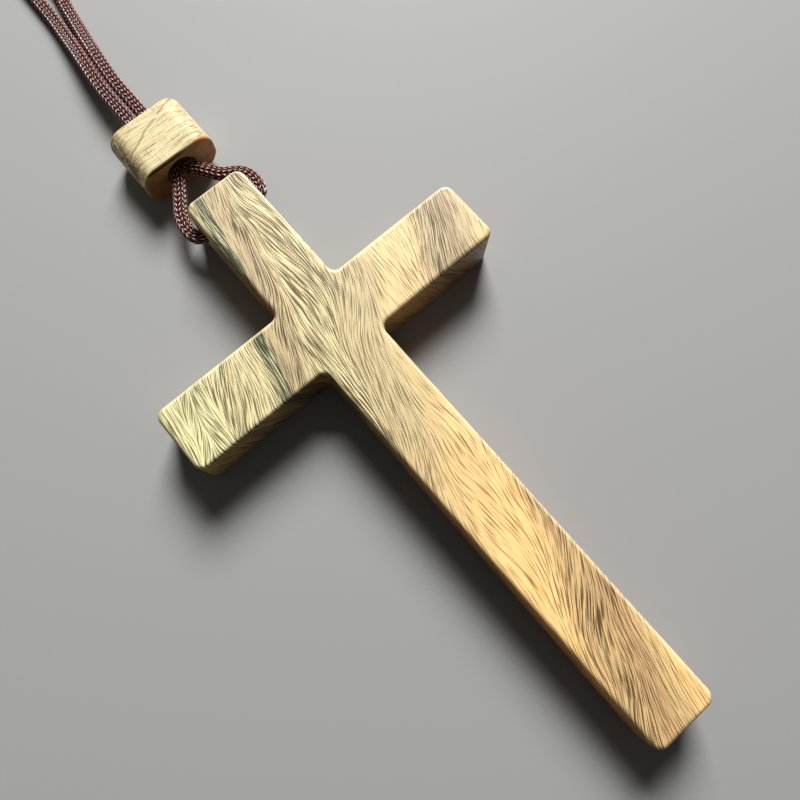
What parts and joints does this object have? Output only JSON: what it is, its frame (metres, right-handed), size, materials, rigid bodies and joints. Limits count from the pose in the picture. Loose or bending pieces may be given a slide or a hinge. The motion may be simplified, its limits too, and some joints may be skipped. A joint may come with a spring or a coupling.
{
  "type": "cross pendant",
  "caption": "Plain flat wooden cross with rounded edges, hung by a doubled cord that runs across its head and up through a wooden bead to a coil and a knot.",
  "frame": {"origin": "on the flat back of the cross, behind the middle of the crossing", "axes": "+X across the cross to its right arm, +Y up from the foot to the head, +Z out of the face; the part lies face up on the plane Z = 0"},
  "size_m": [0.0821, 0.2236, 0.0105],
  "materials": {
    "cross_wood": "satin",
    "bead_wood": "satin",
    "cord": "satin"
  },
  "bodies": {
    "cross": {"cross_body": "cross_wood"},
    "cord": {"cord_left": "cord", "cord_right": "cord", "coil_left": "cord", "coil_right": "cord", "end_knot": "cord"},
    "bead": {"bead": "bead_wood"}
  },
  "joints": [
    {"name": "cord_swing", "type": "hinge", "parent": "cross", "child": "cord", "pos_m": [0, 0.0294, 0.00525], "axis": [1, 0, 0], "range_deg": [-105, 110]},
    {"name": "bead_slide", "type": "slide", "parent": "cord", "child": "bead", "axis": [0, 1, 0], "range_m": [0, 0.012]}
  ]
}
